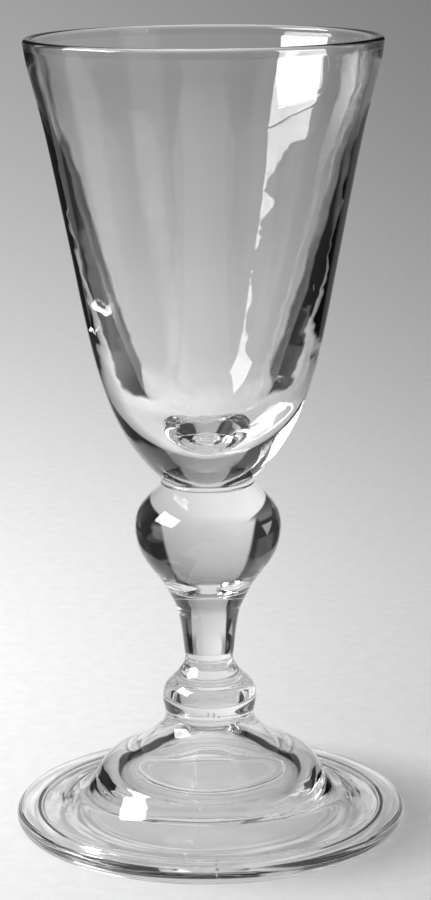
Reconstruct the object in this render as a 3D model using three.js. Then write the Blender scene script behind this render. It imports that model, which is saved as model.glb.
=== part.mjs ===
// Baluster goblet of clear lead glass, in millimetres, +Z up, standing on z = 0 with its axis on Z.
// The maker gathers each piece hot and sticks it on the last, so every joint is a flat fused weld.
// Outlines are half sections: a radius from the axis and a height.
import * as THREE from 'three';

// Welds: the radius of the fused face between two pieces
const bowlWeldRadius = 11.3;
const ballWeldRadius = 11.3;
const shankWeldRadius = 10.5;
const coneWeldRadius = 6.1;
const footWeldRadius = 11.3;

// Bowl
const bowlHeight = 110.5;
const lipRadius = 44.1;
const lipThickness = 1.9;
const lipBead = 0.15;
const bowlBaseThickness = 11.5;

// Merese, the thin ring of glass under the bowl
const mereseHeight = 1.2;
const mereseOverhang = 0.55;

// Stem
const ballHeight = 27.3;
const ballRadius = 18.5;
const shankHeight = 18;
const knopHeight = 15.4;
const knopRadius = 12.05;
const knopConeHeight = 3.2;
const knopShoulderRadius = 7.45;

// Foot
const footHeight = 27.6;
const footRadius = 50;
const crownThickness = 3;
const hollowHeight = footHeight - crownThickness;
const brimThickness = 2;
const foldWidth = 7;
const foldThickness = 1.8;
const foldGap = 0.25;
const foldGapDepth = 1.6;
const rimRound = 1.9;
const restWidth = 3.8;
const restLift = 0.2;

// Pontil scar
const scarRadius = 4.2;
const scarHeight = 1.1;
const scarRaggedness = 0.4;

// Turned surfaces
const turnSides = 48;
const scarSides = 28;
const fine = 2;
const coarse = 1;

// Half sections of the curved stretches, as shares of the piece's own radius and height
const bowlOutsideShares = [
  [0.338, 0.035], [0.429, 0.081], [0.502, 0.131], [0.577, 0.203], [0.652, 0.311],
  [0.733, 0.474], [0.828, 0.673], [0.925, 0.855], [0.982, 0.946],
];
const bowlInsideShares = [
  [0.083, 0.005], [0.164, 0.02], [0.239, 0.042], [0.31, 0.071], [0.383, 0.111], [0.453, 0.172],
  [0.524, 0.253], [0.602, 0.354], [0.678, 0.465], [0.749, 0.576], [0.825, 0.697], [0.898, 0.808],
  [0.953, 0.899],
];
const ballShares = [
  [0.67, 0.11], [0.835, 0.256], [0.93, 0.366], [0.985, 0.487], [1, 0.615], [0.973, 0.718],
  [0.905, 0.806], [0.809, 0.879], [0.697, 0.952],
];
const shankShares = [[0.617, 0.167], [0.66, 0.389], [0.706, 0.556], [0.775, 0.722], [0.855, 0.833]];
const knopShares = [
  [0.949, 0.11], [0.986, 0.28], [1, 0.4], [0.979, 0.525], [0.905, 0.69], [0.747, 0.85],
];
const footTopShares = [
  [0.8, 0.019], [0.726, 0.045], [0.68, 0.096], [0.644, 0.168], [0.612, 0.253], [0.584, 0.338],
  [0.56, 0.423], [0.524, 0.507], [0.466, 0.592], [0.384, 0.677], [0.314, 0.771], [0.264, 0.856],
  [0.238, 0.932],
];
const footUnderShares = [
  [0.849, 0.042], [0.726, 0.104], [0.628, 0.184], [0.544, 0.277], [0.479, 0.37], [0.423, 0.468],
  [0.372, 0.565], [0.316, 0.654], [0.26, 0.734], [0.209, 0.809], [0.163, 0.885], [0.126, 0.951],
];

const clearGlass = { color: 0xe6ebe9, roughness: 0.04, metalness: 0 };
const brokenGlass = { color: 0xe6ebe9, roughness: 0.35, metalness: 0 };

function point(radius, height) {
  return new THREE.Vector2(radius, height);
}

// Stations of an outline from its shares of a radius and a height, starting at a given level
function stations(shares, radius, height, level = 0) {
  return shares.map(([radiusShare, heightShare]) =>
    point(radius * radiusShare, level + height * heightShare));
}

// A smooth line through all the stations, with a few points to each span
function smooth(points, perSpan) {
  return new THREE.SplineCurve(points).getPoints((points.length - 1) * perSpan);
}

// Part of an ellipse, from one angle in half turns to another
function arc(centreRadius, centreHeight, reach, rise, from, to, count) {
  const turn = new THREE.EllipseCurve(
    centreRadius, centreHeight, reach, rise, from * Math.PI, to * Math.PI, from > to);
  return turn.getPoints(count);
}

// Turns a closed half section about the axis and stands it upright
function turned(halfSection, sides = turnSides) {
  const apart = (a, b) => a.distanceTo(b) > Number.EPSILON;
  const outline = halfSection.filter((p, i) => i === 0 || apart(p, halfSection[i - 1]));
  return new THREE.LatheGeometry(outline, sides).rotateX(Math.PI / 2);
}

function piece(name, geometry, finish) {
  const mesh = new THREE.Mesh(geometry, new THREE.MeshStandardMaterial(finish));
  mesh.name = name;
  return mesh;
}

// The blown bowl: a round funnel over a thick solid base, its lip rounded in the fire
function bowl() {
  const beadRadius = lipThickness / 2 + lipBead;
  const lipLevel = bowlHeight - beadRadius;
  const innerLipRadius = lipRadius - lipThickness;
  const outside = smooth([
    point(bowlWeldRadius, 0),
    ...stations(bowlOutsideShares, lipRadius, bowlHeight),
    point(lipRadius - lipBead, lipLevel - beadRadius),
  ], coarse);
  const lip = arc(lipRadius - beadRadius, lipLevel, beadRadius, beadRadius, 0, 1, 6);
  const cavityDepth = bowlHeight - bowlBaseThickness;
  const inside = smooth([
    point(0, bowlBaseThickness),
    ...stations(bowlInsideShares, innerLipRadius, cavityDepth, bowlBaseThickness),
    point(innerLipRadius - lipBead, lipLevel - beadRadius),
  ], coarse).reverse();
  return piece('bowl', turned([point(0, 0), ...outside, ...lip, ...inside]), clearGlass);
}

// The merese: a thin ring pressed between the bowl and the ball, with a half-round edge
function merese() {
  const waist = Math.max(ballWeldRadius, bowlWeldRadius);
  const edge = arc(waist, mereseHeight / 2, mereseOverhang, mereseHeight / 2, -0.5, 0.5, 8);
  const section = [
    point(0, 0), point(ballWeldRadius, 0), ...edge,
    point(bowlWeldRadius, mereseHeight), point(0, mereseHeight),
  ];
  return piece('merese', turned(section), clearGlass);
}

// The ball knop: solid, fullest above the middle, and drawn in to a cone below
function ballKnop() {
  const outside = smooth([
    point(shankWeldRadius, 0),
    ...stations(ballShares, ballRadius, ballHeight),
    point(ballWeldRadius, ballHeight),
  ], fine);
  return piece('ball_knop', turned([point(0, 0), ...outside, point(0, ballHeight)]), clearGlass);
}

// The shank: a short solid trumpet, wide under the ball and narrow over the knop
function taperedShank() {
  const outside = smooth([
    point(coneWeldRadius, 0),
    ...stations(shankShares, shankWeldRadius, shankHeight),
    point(shankWeldRadius, shankHeight),
  ], fine);
  return piece('tapered_shank', turned([point(0, 0), ...outside, point(0, shankHeight)]), clearGlass);
}

// The basal knop: a flattened ball with a short cone on top that takes the shank
function basalKnop() {
  const shoulderLevel = knopHeight - knopConeHeight;
  const round = smooth([
    point(footWeldRadius, 0),
    ...stations(knopShares, knopRadius, shoulderLevel),
    point(knopShoulderRadius, shoulderLevel),
  ], fine);
  const cone = smooth([
    point(knopShoulderRadius, shoulderLevel),
    point((knopShoulderRadius + 3 * coneWeldRadius) / 4, shoulderLevel + knopConeHeight / 2),
    point(coneWeldRadius, knopHeight),
  ], fine);
  return piece('basal_knop', turned([point(0, 0), ...round, ...cone, point(0, knopHeight)]), clearGlass);
}

// The foot: a blown dome over a hollow, its brim turned under all round and pressed flat, so that
// the rim is double and the glass stands on the fold. A thin gap stays open at the fold's inner edge.
function foot() {
  const foldRadius = footRadius - foldWidth;
  const brimUnder = foldThickness + foldGap;
  const brimTop = brimUnder + brimThickness;
  const restRadius = footRadius - rimRound;
  const crown = smooth([
    point(foldRadius, brimUnder),
    ...stations(footUnderShares, foldRadius, hollowHeight - brimUnder, brimUnder),
    point(scarRadius, hollowHeight),
  ], coarse).reverse();
  const bend = (foldThickness - restLift) / 2;
  const fold = [
    point(foldRadius + foldGapDepth, foldThickness + foldGap / 2),
    ...arc(foldRadius + bend, restLift + bend, bend, bend, 0.5, 1.5, 6),
    point(restRadius - restWidth, 0), point(restRadius, 0),
  ];
  const rim = arc(restRadius, brimTop / 2, rimRound, brimTop / 2, -0.5, 0.5, 8);
  const top = smooth([
    point(restRadius, brimTop),
    ...stations(footTopShares, footRadius, footHeight - brimTop, brimTop),
    point(footWeldRadius, footHeight),
  ], coarse);
  const section = [point(0, hollowHeight), ...crown, ...fold, ...rim, ...top, point(0, footHeight)];
  return piece('foot', turned(section), clearGlass);
}

// The pontil scar: a shallow broken pad, a little out of round, with a hollow where the iron came away
function pontilScar() {
  const section = [
    point(0, -scarHeight / 3), point(scarRadius / 3, -scarHeight / 2),
    point(scarRadius * 2 / 3, -scarHeight), point(scarRadius * 5 / 6, -scarHeight * 2 / 3),
    point(scarRadius - scarRaggedness, -scarHeight / 4), point(scarRadius - scarRaggedness, 0), point(0, 0),
  ];
  const geometry = turned(section, scarSides);
  const position = geometry.getAttribute('position');
  for (let i = 0; i < position.count; i += 1) {
    const angle = Math.atan2(position.getY(i), position.getX(i));
    const out = Math.hypot(position.getX(i), position.getY(i)) / scarRadius;
    const ragged = 1 + scarRaggedness / scarRadius * out * (Math.sin(3 * angle) + Math.sin(7 * angle) / 2) / 2;
    position.setXY(i, position.getX(i) * ragged, position.getY(i) * ragged);
  }
  return piece('pontil_scar', geometry, brokenGlass);
}

// The goblet: each piece stands on the top of the one below it
const goblet = new THREE.Group();
let level = 0;
const stack = [
  [foot(), footHeight], [basalKnop(), knopHeight], [taperedShank(), shankHeight],
  [ballKnop(), ballHeight], [merese(), mereseHeight], [bowl(), bowlHeight],
];
for (const [mesh, height] of stack) {
  mesh.position.z = level;
  goblet.add(mesh);
  level += height;
}
const scar = pontilScar();
scar.position.z = hollowHeight;
goblet.add(scar);

export default goblet;
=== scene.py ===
from math import ceil, pi, radians

import bpy
import numpy as np
from mathutils import Matrix, Vector, noise


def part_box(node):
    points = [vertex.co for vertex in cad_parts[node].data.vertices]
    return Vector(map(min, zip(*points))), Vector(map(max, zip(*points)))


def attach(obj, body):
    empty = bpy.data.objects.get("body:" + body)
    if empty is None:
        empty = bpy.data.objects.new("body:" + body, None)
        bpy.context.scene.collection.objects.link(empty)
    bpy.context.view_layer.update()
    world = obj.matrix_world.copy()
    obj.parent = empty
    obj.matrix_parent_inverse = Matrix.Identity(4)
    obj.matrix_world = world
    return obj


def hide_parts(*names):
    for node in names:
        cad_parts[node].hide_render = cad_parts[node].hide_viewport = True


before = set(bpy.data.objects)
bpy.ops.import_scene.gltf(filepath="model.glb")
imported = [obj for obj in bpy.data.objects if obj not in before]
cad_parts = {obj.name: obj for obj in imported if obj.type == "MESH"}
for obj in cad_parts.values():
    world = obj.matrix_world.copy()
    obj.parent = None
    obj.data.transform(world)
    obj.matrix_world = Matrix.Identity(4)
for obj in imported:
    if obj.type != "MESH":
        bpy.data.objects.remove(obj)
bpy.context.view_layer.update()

mm = 0.001


class Wire:
    # a socket that can be used in sums; each operator adds its Math node
    def __init__(self, shader, socket):
        self.shader = shader
        self.socket = socket

    def maths(self, operation, *others):
        return self.shader.maths(operation, self, *others)

    def __add__(self, other):
        return self.maths("ADD", other)

    __radd__ = __add__

    def __sub__(self, other):
        return self.maths("SUBTRACT", other)

    def __rsub__(self, other):
        return self.shader.maths("SUBTRACT", other, self)

    def __mul__(self, other):
        return self.maths("MULTIPLY", other)

    __rmul__ = __mul__

    def __truediv__(self, other):
        return self.maths("DIVIDE", other)

    def __rtruediv__(self, other):
        return self.shader.maths("DIVIDE", other, self)

    def __pow__(self, other):
        return self.maths("POWER", other)

    def __neg__(self):
        return self.maths("MULTIPLY", -1)

    def __abs__(self):
        return self.maths("ABSOLUTE")

    def atLeast(self, other):
        return self.maths("MAXIMUM", other)

    def atMost(self, other):
        return self.maths("MINIMUM", other)


class Shader:
    def __init__(self, owner):
        owner.use_nodes = True
        self.tree = owner.node_tree
        self.tree.nodes.clear()

    def node(self, kind, settings=None, inputs=None, output=0):
        # settings go first, then sockets; a tuple of outputs gives a list of wires
        made = self.tree.nodes.new("ShaderNode" + kind)
        for name, value in (settings or {}).items():
            if name == "stops":
                ramp = made.color_ramp
                while len(ramp.elements) < len(value):
                    ramp.elements.new(0.5)
                for element, (place, grey) in zip(ramp.elements, value):
                    element.position = place
                    element.color = (grey, grey, grey, 1)
            elif name == "blend":
                made.color_ramp.interpolation = value
            else:
                setattr(made, name, value)
        for name, value in (inputs or {}).items():
            if isinstance(value, Wire):
                self.tree.links.new(value.socket, made.inputs[name])
            else:
                made.inputs[name].default_value = value
        if not made.outputs:
            return made
        if isinstance(output, tuple):
            return [Wire(self, made.outputs[o]) for o in output]
        return Wire(self, made.outputs[output])

    def maths(self, operation, *values):
        return self.node("Math", {"operation": operation}, dict(enumerate(values)))

    def band(self, value, start, end, low=0.0, high=1.0):
        # smooth step from low at start to high at end
        return self.node("MapRange", {"interpolation_type": "SMOOTHSTEP"}, {
            "Value": value, "From Min": start, "From Max": end, "To Min": low, "To Max": high})

    def fall(self, value, start, end):
        # smooth step from one at start to nothing at end
        return self.band(value, start, end, 1, 0)

    def noise(self, vector, scale, detail, roughness=0.5):
        return self.node("TexNoise", None, {
            "Vector": vector, "Scale": scale, "Detail": detail, "Roughness": roughness})

    def grade(self, value, stops):
        # all its stops are grey, so that its colour serves as one value
        return self.node("ValToRGB", {"stops": stops, "blend": "B_SPLINE"}, {"Fac": value})

    def glow(self, level):
        return self.node("Emission", None, {"Color": level, "Strength": 1.0})

    def parts(self, vector):
        return self.node("SeparateXYZ", None, {0: vector}, (0, 1, 2))

    def blend(self, factor, first, second):
        return self.node("MixShader", None, {0: factor, 1: first, 2: second})

    def surface(self, result):
        self.node("OutputMaterial", None, {"Surface": result})


# Outlines and turning

def smoothLine(points, step):
    # a cubic line through all the points, with no kink in its curvature
    points = np.array(points, float)
    count = len(points)
    spans = np.hypot(*np.diff(points, axis=0).T)
    slopes = np.diff(points, axis=0) / spans[:, None]
    matrix = np.eye(count)
    right = np.zeros((count, 2))
    for i in range(1, count - 1):
        matrix[i, i - 1:i + 2] = spans[i - 1], 2 * (spans[i - 1] + spans[i]), spans[i]
        right[i] = 6 * (slopes[i] - slopes[i - 1])
    if count > 3:
        matrix[0, :3] = spans[1], -(spans[0] + spans[1]), spans[0]
        matrix[-1, -3:] = spans[-1], -(spans[-2] + spans[-1]), spans[-2]
    bends = np.linalg.solve(matrix, right)
    line = []
    for i in range(count - 1):
        share = np.linspace(0, 1, max(2, ceil(spans[i] / step)), endpoint=False)[:, None]
        rest = 1 - share
        curve = (rest ** 3 - rest) * bends[i] + (share ** 3 - share) * bends[i + 1]
        line.append(rest * points[i] + share * points[i + 1] + spans[i] ** 2 / 6 * curve)
    line.append(points[-1:])
    return np.vstack(line)


def stations(shares, radius, height, level=0.0):
    # points of an outline from its shares of a radius and a height
    return [(radius * r, level + height * h) for r, h in shares]


def arc(centreRadius, centreHeight, reach, rise, start, end, count):
    # part of an ellipse, from one angle in half turns to another
    turn = np.linspace(start, end, count + 1) * pi
    return np.column_stack([centreRadius + reach * np.cos(turn), centreHeight + rise * np.sin(turn)])


def disc(fromRadius, toRadius, height):
    return [(fromRadius, height), ((fromRadius + toRadius) / 2, height), (toRadius, height)]


class Turning:
    # gathers the runs of a half section, glass or weld, then turns them about the axis
    onAxis = 0.001      # a point nearer the axis than this lies on it

    def __init__(self, sides=224):
        self.sides = sides
        self.stops = []

    def run(self, points, weld=False, shape=None, edge=None):
        points = np.array(points, float)
        if self.stops and np.allclose(points[0], self.stops[-1][0]):
            points = points[1:]
        self.stops += [(p, weld, shape, edge) for p in points]

    def build(self, name, materials, level, seeds=()):
        line = np.array([stop[0] for stop in self.stops])
        ahead = np.roll(line, -1, 0) - np.roll(line, 1, 0)
        ahead[0], ahead[-1] = line[1] - line[0], line[-1] - line[-2]
        ahead /= np.hypot(*ahead.T)[:, None]
        theta = np.arange(self.sides) * 2 * pi / self.sides
        verts, rings = [], []
        for (point, _, shape, edge), way in zip(self.stops, ahead):
            if point[0] < self.onAxis:
                rings.append([len(verts)])
                verts.append((0, 0, point[1] + level))
                continue
            push = shape(point, theta) if shape else 0 * theta
            radius = (point[0] + way[1] * push) * (edge(theta) if edge else 1)
            height = point[1] - way[0] * push + level
            rings.append(list(range(len(verts), len(verts) + self.sides)))
            verts.extend(zip(radius * np.cos(theta), radius * np.sin(theta), height))
        faces, finish = [], []
        for low, high, stop in zip(rings, rings[1:], self.stops[1:]):
            for j in range(self.sides):
                k = (j + 1) % self.sides
                if len(low) == 1:
                    faces.append((low[0], high[k], high[j]))
                elif len(high) == 1:
                    faces.append((low[j], low[k], high[0]))
                else:
                    faces.append((low[j], low[k], high[k], high[j]))
                finish.append(int(stop[1]))
        for centre, size, tall in seeds:
            addSeed(verts, faces, finish, centre, size, tall)
        mesh = bpy.data.meshes.new(name)
        mesh.from_pydata([tuple(c * mm for c in v) for v in verts], [], faces)
        for material in materials:
            mesh.materials.append(material)
        mesh.polygons.foreach_set("material_index", finish)
        mesh.polygons.foreach_set("use_smooth", [not f for f in finish])
        mesh.update()
        piece = bpy.data.objects.new(name, mesh)
        bpy.context.scene.collection.objects.link(piece)
        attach(piece, "root")
        print("turned", name, "with", len(faces), "faces")
        return piece


def addSeed(verts, faces, finish, centre, size, tall, rings=7, sides=12):
    # a seed of air, a small round hollow drawn out along its height
    first = len(verts)
    for i in range(1, rings):
        lean = pi * i / rings
        for j in range(sides):
            turn = 2 * pi * j / sides
            verts.append((centre[0] + size * np.sin(lean) * np.cos(turn),
                          centre[1] + size * np.sin(lean) * np.sin(turn),
                          centre[2] + tall * np.cos(lean)))
    top, bottom, last = len(verts), len(verts) + 1, first + (rings - 2) * sides
    verts.append((centre[0], centre[1], centre[2] + tall))
    verts.append((centre[0], centre[1], centre[2] - tall))
    before = len(faces)
    for j in range(sides):
        k = (j + 1) % sides
        faces.append((top, first + k, first + j))
        faces.append((bottom, last + j, last + k))
        for a in range(first, last, sides):
            faces.append((a + j, a + k, a + sides + k, a + sides + j))
    finish += [0] * (len(faces) - before)


def nodeSizes(name):
    # radius, bottom and height of a solid, and its radius at its two ends
    low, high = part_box(name)
    slack = 0.02
    corners = np.array([v.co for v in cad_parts[name].data.vertices]) / mm
    spread = np.hypot(corners[:, 0], corners[:, 1])
    ends = [spread[np.abs(corners[:, 2] - level / mm) < slack].max() for level in (low.z, high.z)]
    return high.x / mm, low.z / mm, (high.z - low.z) / mm, ends[0], ends[1]


# Unevenness of the hand: each maker gives a function of a point of the section and the angles

seedStride = 3.7        # how far apart two seeds lie in the noise


def ripple(size, around, upright, seed):
    # size of a swell, how many round, how far apart upwards, and a seed
    def shape(point, theta):
        along = (point[0] + point[1]) / upright + seed
        places = [Vector((around * np.cos(t), around * np.sin(t) + seed * seedStride, along)) for t in theta]
        return size * np.array([noise.noise(place) for place in places])
    return shape


def ripples(rows):
    return together(*[ripple(*row) for row in rows])


markForm = {
    "wander": (0.3, 0.12),              # how far a ring strays from true, once and three times round
    "swell": 0.45, "swellTurn": 0.7,    # how much the marks come and go, and how fast in radians per mm
}


def toolMarks(size, pitches, inner, outer, seed, fade):
    # fine rings that the tools leave on turning glass, between two radii, none of them quite true
    once, thrice = markForm["wander"]
    swell, swellTurn = markForm["swell"], markForm["swellTurn"]

    def shape(point, theta):
        share = np.clip(min(point[0] - inner, outer - point[0]) / fade, 0, 1)
        along = point[0] + once * np.sin(theta + seed) + thrice * np.sin(3 * theta + 2 * seed)
        strength = 1 - swell + swell * np.sin(along * swellTurn + 2 * np.sin(theta * 2 + seed))
        waves = sum(np.sin(2 * pi * along / pitch + seed * i) for i, pitch in enumerate(pitches))
        return size * share * strength * waves / len(pitches)
    return shape


def together(*shapes):
    return lambda point, theta: sum(shape(point, theta) for shape in shapes)


def faded(shape, bottom, top, fade):
    # it dies out towards the welds, where two pieces share one edge
    def inner(point, theta):
        share = np.clip(min(point[1] - bottom, top - point[1]) / fade, 0, 1)
        return shape(point, theta) * share * share * (3 - 2 * share) if share > 0 else 0 * theta
    return inner


# Glass

glassLook = {
    "ior": 1.56,                        # lead glass
    "colour": (0.985, 0.99, 0.985, 1),
    "shadowPass": 0.85,                 # share of the lamp's light that a surface lets by
    "waverScale": 60.0, "waver": 1.2,   # how the tool marks wander
    "cordScale": 140.0,
    "grainScale": 900.0, "grainSpan": (0.35, 0.7),      # of broken glass
}


def glassMaterial(name, rings=0.0, ringPitch=0.9, cords=0.0, rough=None):
    # rings are tool marks round the axis, cords are streaks of denser glass, both heights in mm,
    # and rough is the least and most roughness of broken glass
    look = glassLook
    material = bpy.data.materials.new(name)
    shader = Shader(material)
    place = shader.node("TexCoord", None, None, "Object")
    x, y, z = shader.parts(place)
    spread = (x * x + y * y) ** 0.5
    waver = shader.noise(place, look["waverScale"], 2.0)
    marks = shader.node("TexNoise", {"noise_dimensions": "1D"}, {
        "W": (spread + z) / (ringPitch * mm) + waver * look["waver"], "Scale": 1.0, "Detail": 3.0})
    cord = shader.noise(place, look["cordScale"], 3.0, 0.6)
    bump = shader.node("Bump", None, {
        "Strength": 1.0, "Distance": mm, "Height": marks * rings + cord * cords})
    roughness = 0.0
    if rough:
        grain = shader.noise(place, look["grainScale"], 4.0)
        roughness = shader.band(grain, *look["grainSpan"], *rough)
    glass = shader.node("BsdfPrincipled", None, {
        "Base Color": look["colour"], "Transmission Weight": 1.0, "IOR": look["ior"],
        "Roughness": roughness, "Normal": bump})
    shadow = shader.node("LightPath", None, None, "Is Shadow Ray")
    shader.surface(shader.blend(shadow * look["shadowPass"], glass, shader.node("BsdfTransparent")))
    return material


def weldMaterial():
    # the fused faces inside the glass, which light crosses untouched
    material = bpy.data.materials.new("weld")
    shader = Shader(material)
    shader.surface(shader.node("BsdfPrincipled", None, {
        "Base Color": (1, 1, 1, 1), "Transmission Weight": 1.0, "Alpha": 0.0}))
    return material


fusedFace = weldMaterial()

# Bowl

bowlForm = {
    "outside": [(0.338, 0.035), (0.429, 0.081), (0.502, 0.131), (0.577, 0.203), (0.652, 0.311),
                (0.733, 0.474), (0.828, 0.673), (0.925, 0.855), (0.982, 0.946)],
    "inside": [(0.083, 0.005), (0.164, 0.02), (0.239, 0.042), (0.31, 0.071), (0.383, 0.111), (0.453, 0.172),
               (0.524, 0.253), (0.602, 0.354), (0.678, 0.465), (0.749, 0.576), (0.825, 0.697),
               (0.898, 0.808), (0.953, 0.899)],
    "lip": 1.9, "bead": 0.15, "base": 11.5,
    "sides": 240, "outsideStep": 0.8, "insideStep": 0.5, "lipSteps": 20,
    "outsideSwells": [(0.05, 1.3, 30, 1), (0.05 / 3, 3.2, 9, 2)],
    "insideSwells": [(0.1, 1.4, 22, 3), (0.1 / 3, 3.5, 7, 4), (0.008, 10, 2.6, 12)],
    "evenLip": 3, "outsideFade": 8, "insideFade": 6,    # swells die out this far under the top
    "bottomRings": {"size": 0.02, "pitches": (0.85, 1.3, 1.9), "inner": 0.6, "outer": 12,
                    "seed": 1, "fade": 1.5},
    "seeds": [((25.8, -17.8, 140.9), 0.3, 0.75)],       # centre, half width, half height
    "finish": {"rings": 0.0006, "cords": 0.0006},
}


def bowl():
    form = bowlForm
    lipRadius, level, height, weldRadius, _ = nodeSizes("bowl")
    beadRadius = form["lip"] / 2 + form["bead"]
    lipLevel = height - beadRadius
    innerLip = lipRadius - form["lip"]
    base = form["base"]
    outside = smoothLine([(weldRadius, 0), *stations(form["outside"], lipRadius, height),
                          (lipRadius - form["bead"], lipLevel - beadRadius)], form["outsideStep"])
    inside = smoothLine([(0, base), *stations(form["inside"], innerLip, height - base, base),
                         (innerLip - form["bead"], lipLevel - beadRadius)], form["insideStep"])[::-1]
    even, fade = height - form["evenLip"], form["insideFade"]
    outsideShape = faded(ripples(form["outsideSwells"]), 0, even, form["outsideFade"])
    insideShape = faded(together(ripples(form["insideSwells"]), toolMarks(**form["bottomRings"])),
                        base - fade, even, fade)
    turning = Turning(form["sides"])
    turning.run(disc(0, weldRadius, 0), weld=True)
    turning.run(outside, shape=outsideShape)
    turning.run(arc(lipRadius - beadRadius, lipLevel, beadRadius, beadRadius, 0, 1, form["lipSteps"]))
    turning.run(inside, shape=insideShape)
    material = glassMaterial("bowl_glass", **form["finish"])
    return turning.build("bowl_glass", [material, fusedFace], level, form["seeds"])


# Merese

mereseForm = {"edgeSteps": 16, "finish": {"rings": 0.001}}


def merese():
    reach, level, height, low, high = nodeSizes("merese")
    turning = Turning()
    turning.run(disc(0, low, 0), weld=True)
    turning.run(arc(low, height / 2, reach - low, height / 2, -0.5, 0.5, mereseForm["edgeSteps"]))
    turning.run(disc(high, 0, height), weld=True)
    material = glassMaterial("merese_glass", **mereseForm["finish"])
    return turning.build("merese_glass", [material, fusedFace], level)


# Stem

ballForm = {
    "outside": [(0.67, 0.11), (0.835, 0.256), (0.93, 0.366), (0.985, 0.487), (1, 0.615), (0.973, 0.718),
                (0.905, 0.806), (0.809, 0.879), (0.697, 0.952)],
    "step": 0.35, "swells": [(0.05, 1.2, 14, 5)], "fade": 5,
    "finish": {"rings": 0.0004, "cords": 0.0003},
}
shankForm = {
    "outside": [(0.617, 0.167), (0.66, 0.389), (0.706, 0.556), (0.775, 0.722), (0.855, 0.833)],
    "step": 0.2, "swells": [(0.03, 1.2, 9, 6)], "fade": 4,
    "finish": {"rings": 0.0008, "cords": 0.0003},
}


def stemLength(node, name, form):
    # a solid length of the stem between two welds
    radius, level, height, low, high = nodeSizes(node)
    outside = smoothLine([(low, 0), *stations(form["outside"], radius, height), (high, height)],
                         form["step"])
    turning = Turning()
    turning.run(disc(0, low, 0), weld=True)
    turning.run(outside, shape=faded(ripples(form["swells"]), 0, height, form["fade"]))
    turning.run(disc(high, 0, height), weld=True)
    material = glassMaterial(name, **form["finish"])
    return turning.build(name, [material, fusedFace], level)


knopForm = {
    "outside": [(0.949, 0.11), (0.986, 0.28), (1, 0.4), (0.979, 0.525), (0.905, 0.69), (0.747, 0.85)],
    "cone": 3.2, "shoulder": 7.45,
    "step": 0.2, "swells": [(0.03, 1.2, 8, 7)], "fade": 3,
    "seeds": [((-0.3, -10.4, 30.6), 0.22, 0.6), ((1.0, -10.2, 30.3), 0.3, 0.75),
              ((2.2, -10.1, 29.9), 0.26, 0.45)],
    "finish": {"rings": 0.0008, "cords": 0.0003},
}


def basalKnop():
    form = knopForm
    radius, level, height, low, high = nodeSizes("basal_knop")
    shoulder = height - form["cone"]
    swelling = smoothLine([(low, 0), *stations(form["outside"], radius, shoulder),
                           (form["shoulder"], shoulder)], form["step"])
    middle = (form["shoulder"] + 3 * high) / 4, shoulder + form["cone"] / 2
    cone = smoothLine([(form["shoulder"], shoulder), middle, (high, height)], form["step"])
    turning = Turning()
    turning.run(disc(0, low, 0), weld=True)
    turning.run(swelling, shape=faded(ripples(form["swells"]), 0, shoulder, form["fade"]))
    turning.run(cone)
    turning.run(disc(high, 0, height), weld=True)
    material = glassMaterial("knop_glass", **form["finish"])
    return turning.build("knop_glass", [material, fusedFace], level, form["seeds"])


# Foot, and the pontil scar under its crown

footForm = {
    "top": [(0.8, 0.019), (0.726, 0.045), (0.68, 0.096), (0.644, 0.168), (0.612, 0.253), (0.584, 0.338),
            (0.56, 0.423), (0.524, 0.507), (0.466, 0.592), (0.384, 0.677), (0.314, 0.771),
            (0.264, 0.856), (0.238, 0.932)],
    # the hollow runs straighter than the solid's, and a little higher halfway out
    "under": [(0.849, 0.042), (0.726, 0.18), (0.628, 0.299), (0.544, 0.397), (0.479, 0.472), (0.423, 0.539),
              (0.372, 0.601), (0.316, 0.667), (0.26, 0.738), (0.209, 0.809), (0.163, 0.885), (0.126, 0.951)],
    "brim": 2.0, "foldWidth": 7.0, "foldThickness": 1.8, "foldGap": 0.25, "gapDepth": 1.6,
    "rimRound": 1.9, "restWidth": 3.8, "restLift": 0.2,
    "sides": 256, "step": 0.3, "foldSteps": 14, "rimSteps": 18,
    "topSwells": [(0.05, 1.5, 16, 10), (0.05 / 3, 4, 5, 11)],
    "underSwells": [(0.08, 1.5, 16, 8), (0.08 / 3, 4, 5, 9)],
    "topFade": 4, "underFade": 3,
    "topStart": 1, "underStart": 0.5, "underEnd": 2,     # how far past its edges a swell would die out
    "topMarks": {"size": 0.028, "pitches": (1.2, 1.9, 3.1), "inner": 31, "seed": 5, "fade": 3},
    "underMarks": {"size": 0.012, "pitches": (1.3, 2.1, 3.4), "inner": 20, "seed": 2, "fade": 3},
    "seeds": [((1.4, -40.6, 3.0), 0.22, 0.3), ((1.6, -43.1, 3.1), 0.3, 0.35), ((1.3, -45.2, 3.0), 0.24, 0.3),
              ((1.6, -47.2, 2.6), 0.35, 0.4)],
    "finish": {"rings": 0.004, "ringPitch": 1.1, "cords": 0.0005},
}
scarForm = {
    "spread": 4.2, "ragged": 0.4, "raggedEase": 2.2,
    "under": [(0, -0.36), (0.2, -0.4), (0.44, -0.56), (0.66, -0.86), (0.8, -0.9), (0.92, -0.55),
              (0.99, -0.22), (1, 0)],
    "sides": 160, "step": 0.06,
    "shells": 0.3, "shellPitch": 0.5, "shellSeed": 4.4, "shellNoise": (0.8, 2.1, 5),
    "ridges": 0.07, "ridgeTurn": 2.4, "ridgesFrom": 0.8, "sunk": 0.16, "evenEdge": 1.2,
    "finish": {"rings": 0.01, "ringPitch": 0.5, "cords": 0.02, "rough": (0.02, 0.22)},
}


def scarEdge(theta):
    # the broken pad is a little out of round
    waves = np.sin(3 * theta) + np.sin(7 * theta) / 2
    return 1 + scarForm["ragged"] / scarForm["spread"] * waves / scarForm["raggedEase"]


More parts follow.
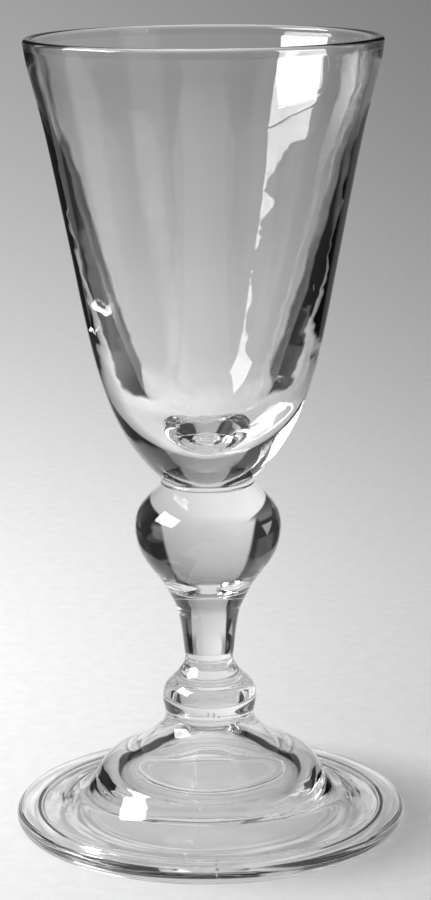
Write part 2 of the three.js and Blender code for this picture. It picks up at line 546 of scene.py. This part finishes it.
def foot():
    form = footForm
    radius, level, height, _, weldRadius = nodeSizes("foot")
    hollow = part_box("pontil_scar")[1].z / mm
    foldRadius = radius - form["foldWidth"]
    brimUnder = form["foldThickness"] + form["foldGap"]
    brimTop = brimUnder + form["brim"]
    rest = radius - form["rimRound"]
    bend = (form["foldThickness"] - form["restLift"]) / 2
    under = stations(form["under"], foldRadius, hollow - brimUnder, brimUnder)
    crown = smoothLine([(foldRadius, brimUnder), *under, (scarForm["spread"], hollow)], form["step"])[::-1]
    top = smoothLine([(rest, brimTop), *stations(form["top"], radius, height - brimTop, brimTop),
                      (weldRadius, height)], form["step"])
    underSwells = faded(ripples(form["underSwells"]), brimUnder - form["underStart"],
                        hollow + form["underEnd"], form["underFade"])
    topSwells = faded(ripples(form["topSwells"]), brimTop - form["topStart"], height, form["topFade"])
    underShape = together(underSwells, toolMarks(outer=foldRadius, **form["underMarks"]))
    topShape = together(topSwells, toolMarks(outer=rest, **form["topMarks"]))
    turning = Turning(form["sides"])
    turning.run(disc(0, scarForm["spread"] - scarForm["ragged"], hollow), weld=True, edge=scarEdge)
    turning.run(crown, shape=underShape)
    turning.run([(foldRadius + form["gapDepth"], form["foldThickness"] + form["foldGap"] / 2)])
    turning.run(arc(foldRadius + bend, form["restLift"] + bend, bend, bend, 0.5, 1.5, form["foldSteps"]))
    turning.run([(rest - form["restWidth"], 0), (rest, 0)])
    turning.run(arc(rest, brimTop / 2, form["rimRound"], brimTop / 2, -0.5, 0.5, form["rimSteps"]))
    turning.run(top, shape=topShape)
    turning.run(disc(weldRadius, 0, height), weld=True)
    material = glassMaterial("foot_glass", **form["finish"])
    return turning.build("foot_glass", [material, fusedFace], level, form["seeds"])


def pontilScar():
    # a rough pad with shell-like ridges, hollow where the iron came away
    form = scarForm
    low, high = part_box("pontil_scar")
    spread = form["spread"] - form["ragged"]
    section = smoothLine(stations(form["under"], spread, (high.z - low.z) / mm), form["step"])
    pitch = form["shellPitch"]

    def broken(point, theta):
        inside = np.clip((spread - point[0]) / form["evenEdge"], 0, 1)
        places = [Vector((point[0] * np.cos(t) * pitch, point[0] * np.sin(t) * pitch, form["shellSeed"]))
                  for t in theta]
        shells = np.array([noise.fractal(place, *form["shellNoise"]) for place in places])
        ridges = np.sin(point[0] * form["ridgeTurn"] + 3 * shells + np.sin(2 * theta)) * form["ridges"]
        ridges = ridges * (point[0] > form["ridgesFrom"])
        return -inside * (form["sunk"] + form["shells"] * np.abs(shells) + ridges)

    turning = Turning(form["sides"])
    turning.run(section, shape=broken, edge=scarEdge)
    turning.run(disc(spread, 0, 0), weld=True, edge=scarEdge)
    material = glassMaterial("broken_glass", **form["finish"])
    return turning.build("pontil_glass", [material, fusedFace], high.z / mm)


pieces = {
    "bowl": bowl(),
    "merese": merese(),
    "ball_knop": stemLength("ball_knop", "ball_glass", ballForm),
    "tapered_shank": stemLength("tapered_shank", "shank_glass", shankForm),
    "basal_knop": basalKnop(),
    "foot": foot(),
    "pontil_scar": pontilScar(),
}
for node, piece in pieces.items():
    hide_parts(node)
    "broken_glass" if node == "pontil_scar" else "clear_glass"

# Camera

cameraForm = {
    "place": (2.07, -648.29, 244.10),       # in mm, and the angles in degrees
    "pitch": -12.805, "roll": -0.497,
    "lens": 105.68, "sensor": 36,
}


def addCamera():
    form = cameraForm
    data = bpy.data.cameras.new("camera")
    data.lens = form["lens"]
    data.sensor_width = form["sensor"]
    camera = bpy.data.objects.new("camera", data)
    camera.location = [c * mm for c in form["place"]]
    tilt = Matrix.Rotation(radians(90 + form["pitch"]), 4, "X")
    camera.rotation_euler = (tilt @ Matrix.Rotation(radians(form["roll"]), 4, "Z")).to_euler()
    bpy.context.scene.collection.objects.link(camera)
    bpy.context.scene.camera = camera
    print("camera set")


addCamera()

# Studio. The camera sees a pale paper floor with painted light that fades into the distance. The glass sees
# painted light on a strip of that paper in front and behind, and painted shade on both sides in place of
# dark cards, as glass is photographed. A pair of places is where a change begins and where it ends.


def board(name, corners, material):
    mesh = bpy.data.meshes.new(name)
    mesh.from_pydata(corners, [], [tuple(range(len(corners)))])
    mesh.materials.append(material)
    piece = bpy.data.objects.new(name, mesh)
    bpy.context.scene.collection.objects.link(piece)
    return piece


def seenByGlassOnly(piece):
    piece.visible_camera = False
    piece.visible_diffuse = False
    piece.visible_shadow = False


paperForm = {
    # the painted light and shade go by how steeply the paper is seen from this far in front and this high
    "inFront": 0.648, "high": 0.2441, "nearest": 0.05, "steepest": 0.45,
    "tones": [(0.0, 0.245), (0.055, 0.315), (0.092, 0.36), (0.13, 0.437), (0.168, 0.508), (0.207, 0.6),
              (0.247, 0.717), (0.288, 0.812), (0.33, 0.845), (0.42, 0.81)],
    "sideways": 0.17, "left": 1.55, "leftFall": 1.1, "right": 0.71,     # painted paler on the left, towards the lamp, far off most
    "palest": 0.93,
    "end": 0.19,                    # behind this the glass sees no darker paper
}


def paintedPaperLight(shader, x, y, camera):
    # how pale the painted light makes the paper, and how far in plan from where it is seen
    form = paperForm
    reach = camera * y + (1 - camera) * y.atMost(form["end"])
    away = ((x * x + (reach + form["inFront"]) ** 2) ** 0.5).atLeast(form["nearest"])
    slope = (form["high"] / away).atMost(form["steepest"])
    left = form["left"] - form["leftFall"] * slope
    across = shader.band(x / away, -form["sideways"], form["sideways"])
    paintedLight = shader.grade(slope, form["tones"]) * (left + across * (form["right"] - left))
    return paintedLight.atMost(form["palest"]), away


patchForm = {
    # the strip of painted light in front and behind
    "half": (0.088, 0.112), "widening": (0.0, 0.07), "edge": (-0.006, 0.008), "start": (-0.55, -0.2),
    # painted light on the paper beyond the painted dark sides, for the views from the side and the back
    "slantEdge": (0.05, 0.08),
    "left": 0.6, "leftEdge": (0.075, 0.11), "leftStart": (0.2, 0.26),
    "rear": 0.17, "rearStart": (0.1, 0.28), "rearEnd": (0.3, 0.36),
    "farRear": 0.4, "farRearStart": (0.43, 0.48),
    "front": 0.6, "frontStart": (0.1, 0.16),
    "right": 0.3, "rightStart": (0.28, 0.4), "rightIn": (0, 0.1), "rightEdge": (0.72, 0.9),
    "rightNearest": 0.1,
}


def litPaper(shader, x, y):
    # where the glass sees painted light on the paper
    form = patchForm
    half = shader.band(y, *form["widening"], *form["half"])
    strip = shader.fall(abs(x) - half, *form["edge"]) * shader.band(y, *form["start"])
    left = shader.fall(abs(y), *form["leftEdge"]) * shader.band(-x, *form["leftStart"]) * form["left"]
    slant = 0.5 ** 0.5
    diagonal = shader.fall(abs(x + y) * slant, *form["slantEdge"])
    beyond = (y - x) * slant
    rear = shader.band(beyond, *form["rearStart"]) * shader.band(beyond, *form["rearEnd"], form["rear"], 0)
    rear = diagonal * rear.atLeast(shader.band(beyond, *form["farRearStart"], 0, form["farRear"]))
    front = diagonal * shader.band(-beyond, *form["frontStart"]) * form["front"]
    right = shader.band(y, *form["rightStart"]) * shader.band(x, *form["rightIn"]) * form["right"]
    right = right * shader.fall(x / y.atLeast(form["rightNearest"]), *form["rightEdge"])
    return strip.atLeast(left).atLeast(rear).atLeast(front).atLeast(right)


underForm = {
    "edge": (0.036, 0.054), "least": 0.68,
    "pitch": 0.0014, "turnPitch": 0.03, "contrast": (0.38, 0.66), "faint": 0.76, "strong": 1.4,
    "ringsStart": (0.026, 0.034), "ringsEnd": (0.048, 0.052),
}


def paintedShadeAndRings(shader, x, y):
    # painted shade on the paper under the foot, with painted rings of light where the glass would gather
    # light on it
    form = underForm
    radius = (x * x + y * y) ** 0.5
    swirl = shader.node("CombineXYZ", None, {
        "X": radius / form["pitch"], "Y": x / form["turnPitch"], "Z": y / form["turnPitch"]})
    rings = shader.band(shader.noise(swirl, 1.0, 2.0), *form["contrast"], form["faint"], form["strong"])
    shown = shader.band(radius, *form["ringsStart"]) * shader.fall(radius, *form["ringsEnd"])
    return shader.band(radius, *form["edge"], form["least"], 1) * (1 + (rings - 1) * shown)


floorForm = {
    "reach": 9.0, "sides": 96, "drop": 0.05 * mm,
    "matt": 0.25, "mattAside": 0.03,    # share that the lamp lights, and the same out to the sides
    "aside": (0.12, 0.3),
    "grainScale": 220.0, "grainSpan": (0.3, 0.7), "uneven": 0.03,       # of the paper
    "dark": (0.036, 0.02), "darkSpan": (-0.1, 0.1),                     # painted shade left and right of the glass, in place of dark cards
    # a painted shadow of the foot, where it keeps the window's light off the paper on its right
    "shadeMiddle": 0.02, "shadeEdge": (0.028, 0.062), "shade": 0.55,
}


def addFloor():
    form = floorForm
    material = bpy.data.materials.new("paper_floor")
    shader = Shader(material)
    place = shader.node("NewGeometry", None, None, "Position")
    x, y, _ = shader.parts(place)
    camera = shader.node("LightPath", None, None, "Is Camera Ray")
    paintedLight, away = paintedPaperLight(shader, x, y, camera)
    grain = shader.noise(place, form["grainScale"], 4.0, 0.7)
    mottle = shader.band(grain, *form["grainSpan"], 1 - form["uneven"], 1 + form["uneven"])
    # painted shadow of the foot on the paper to its right
    fromShade = ((x - form["shadeMiddle"]) ** 2 + y * y) ** 0.5
    shade = shader.band(fromShade, *form["shadeEdge"], form["shade"], 1)
    lit = litPaper(shader, x, y)
    dark = shader.band(x, *form["darkSpan"], *form["dark"])
    # the camera sees the painted light with the painted shadow; the glass sees painted light and painted
    # shade
    inGlass = (lit * paintedLight + (1 - lit) * dark) * paintedShadeAndRings(shader, x, y)
    level = camera * paintedLight * shade * mottle + (1 - camera) * inGlass
    paper = shader.node("BsdfDiffuse", None, {"Color": level})
    matt = shader.band(abs(x) / away, *form["aside"], form["matt"], form["mattAside"])
    shader.surface(shader.blend(matt, shader.glow(level), paper))
    turn = np.arange(form["sides"]) * 2 * pi / form["sides"]
    reach = form["reach"]
    board("floor", [(reach * np.cos(t), reach * np.sin(t), -form["drop"]) for t in turn], material)
    print("floor laid")


cardForm = {
    "behind": 0.19, "height": 0.6, "reach": 0.26, "start": (0.0, 0.03),
    "tones": [(0.0, 0.74), (0.06, 0.64), (0.12, 0.55), (0.17, 0.47), (0.22, 0.40),
              (0.28, 0.33), (0.33, 0.29), (0.56, 0.22), (0.75, 0.5), (1.0, 0.7)],
    "half": 0.086, "taper": 0.035, "flare": 0.035,      # its width, which narrows upwards from a wide base
    # painted paler on the left, towards the lamp
    "left": 1.15, "right": 0.85,
}


def addBackCard():
    # the paper where it sweeps up behind the glass, with painted light and shade over its height
    form = cardForm
    material = bpy.data.materials.new("back_card")
    shader = Shader(material)
    x, _, z = shader.parts(shader.node("NewGeometry", None, None, "Position"))
    half = form["half"] - z * form["taper"] + form["flare"] * (-z / form["flare"]).maths("EXPONENT")
    mask = shader.fall(abs(x) - half, *patchForm["edge"]) * shader.band(z, *form["start"])
    paintedLight = shader.grade(z / form["height"], form["tones"])
    across = shader.band(x, -form["half"], form["half"], form["left"], form["right"])
    back = shader.node("NewGeometry", None, None, "Backfacing")
    clear = shader.node("BsdfTransparent")
    shader.surface(shader.blend(mask * (1 - back), clear, shader.glow(paintedLight * across)))
    w, d, h = form["reach"], form["behind"], form["height"]
    seenByGlassOnly(board("back_card", [(-w, d, 0), (w, d, 0), (w, d, h), (-w, d, h)], material))


flagForm = {
    "level": 28,        # it lies over the dome, set out in mm
    "corners": [(-50, -8), (-49, -14), (-40, -26.5), (-35.5, -32), (-60, -32.5), (-60, -60),
                (-18, -60), (-18, -8)],
    "black": (0.02, 0.02, 0.02, 1),
}


def addFlag():
    # a small black card over the dome, which trims the lamp's reflection in it
    form = flagForm
    material = bpy.data.materials.new("black_card")
    shader = Shader(material)
    shader.surface(shader.node("BsdfDiffuse", None, {"Color": form["black"]}))
    corners = [(x * mm, y * mm, form["level"] * mm) for x, y in form["corners"]]
    seenByGlassOnly(board("black_card", corners, material))
    print("cards stood up")


skyForm = {
    "seen": 0.27, "fill": 0.42,     # what the camera sees past the floor, and the soft light on the paper
    "ceiling": 0.7, "ceilingEdge": (0.86, 0.95),
    "front": 0.13, "frontEdge": (0.8, 0.95), "frontBottom": (0.2, 0.27), "frontTop": (0.7, 0.8),
    "lobe": 0.5, "lobeEdge": (0.965, 0.99), "frontLobeEdge": (0.955, 0.99), "lobeTop": (0.45, 0.6),
    "rear": 0.1, "darkSpan": (-0.5, 0.5), "least": 1e-6,
}


def addWorld():
    form = skyForm
    world = bpy.data.worlds.new("studio")
    bpy.context.scene.world = world
    shader = Shader(world)
    x, y, z = shader.parts(shader.node("TexCoord", None, None, "Generated"))
    camera, glossy, through = shader.node(
        "LightPath", None, None, ("Is Camera Ray", "Is Glossy Ray", "Is Transmission Ray"))
    flat = (x * x + y * y).atLeast(form["least"]) ** 0.5
    side, ahead = x / flat, y / flat
    slant = (ahead - side) * 0.5 ** 0.5
    lobes = shader.band(-side, *form["lobeEdge"]) * form["lobe"]
    lobes = lobes.atLeast(shader.band(slant, *form["lobeEdge"]) * form["rear"])
    lobes = lobes.atLeast(shader.band(-slant, *form["frontLobeEdge"]) * form["lobe"])
    lobes = lobes * shader.fall(z, *form["lobeTop"])
    ceiling = shader.band(z, *form["ceilingEdge"]) * form["ceiling"]
    front = shader.band(-ahead, *form["frontEdge"]) * shader.band(z, *form["frontBottom"])
    front = front * shader.fall(z, *form["frontTop"]) * form["front"]
    dark = shader.band(side, *form["darkSpan"], *floorForm["dark"])
    inGlass = lobes.atLeast(ceiling).atLeast(front).atLeast(dark)
    seen = glossy.atLeast(through)
    level = seen * inGlass + (1 - seen) * (camera * form["seen"] + (1 - camera) * form["fill"])
    sky = shader.node("Background", None, {"Color": level, "Strength": 1.0})
    shader.node("OutputWorld", None, {"Surface": sky})
    print("surroundings lit")


lampForm = {"azimuth": 191, "elevation": 32, "away": 0.8, "aim": 0.09, "size": (0.54, 0.38), "glow": 14.0}


def addLamp():
    # a softbox for the window's light, high on the left
    form = lampForm
    width, height = form["size"]
    data = bpy.data.lights.new("softbox_left", "AREA")
    data.shape = "RECTANGLE"
    data.size, data.size_y = width, height
    data.energy = form["glow"] * width * height * pi
    a, e = radians(form["azimuth"]), radians(form["elevation"])
    towards = Vector((np.cos(a) * np.cos(e), np.sin(a) * np.cos(e), np.sin(e)))
    lamp = bpy.data.objects.new("softbox_left", data)
    lamp.location = towards * form["away"] + Vector((0, 0, form["aim"]))
    lamp.rotation_euler = towards.to_track_quat("Z", "Y").to_euler()
    lamp.visible_camera = False
    bpy.context.scene.collection.objects.link(lamp)
    print("lamp hung")


addFloor()
addBackCard()
addFlag()
addWorld()
addLamp()

# Light crosses many faces of glass before it leaves the goblet
scene = bpy.context.scene
scene.view_settings.view_transform = "Standard"
scene.cycles.max_bounces = 32
scene.cycles.transmission_bounces = 32
scene.cycles.glossy_bounces = 12
scene.cycles.transparent_max_bounces = 64
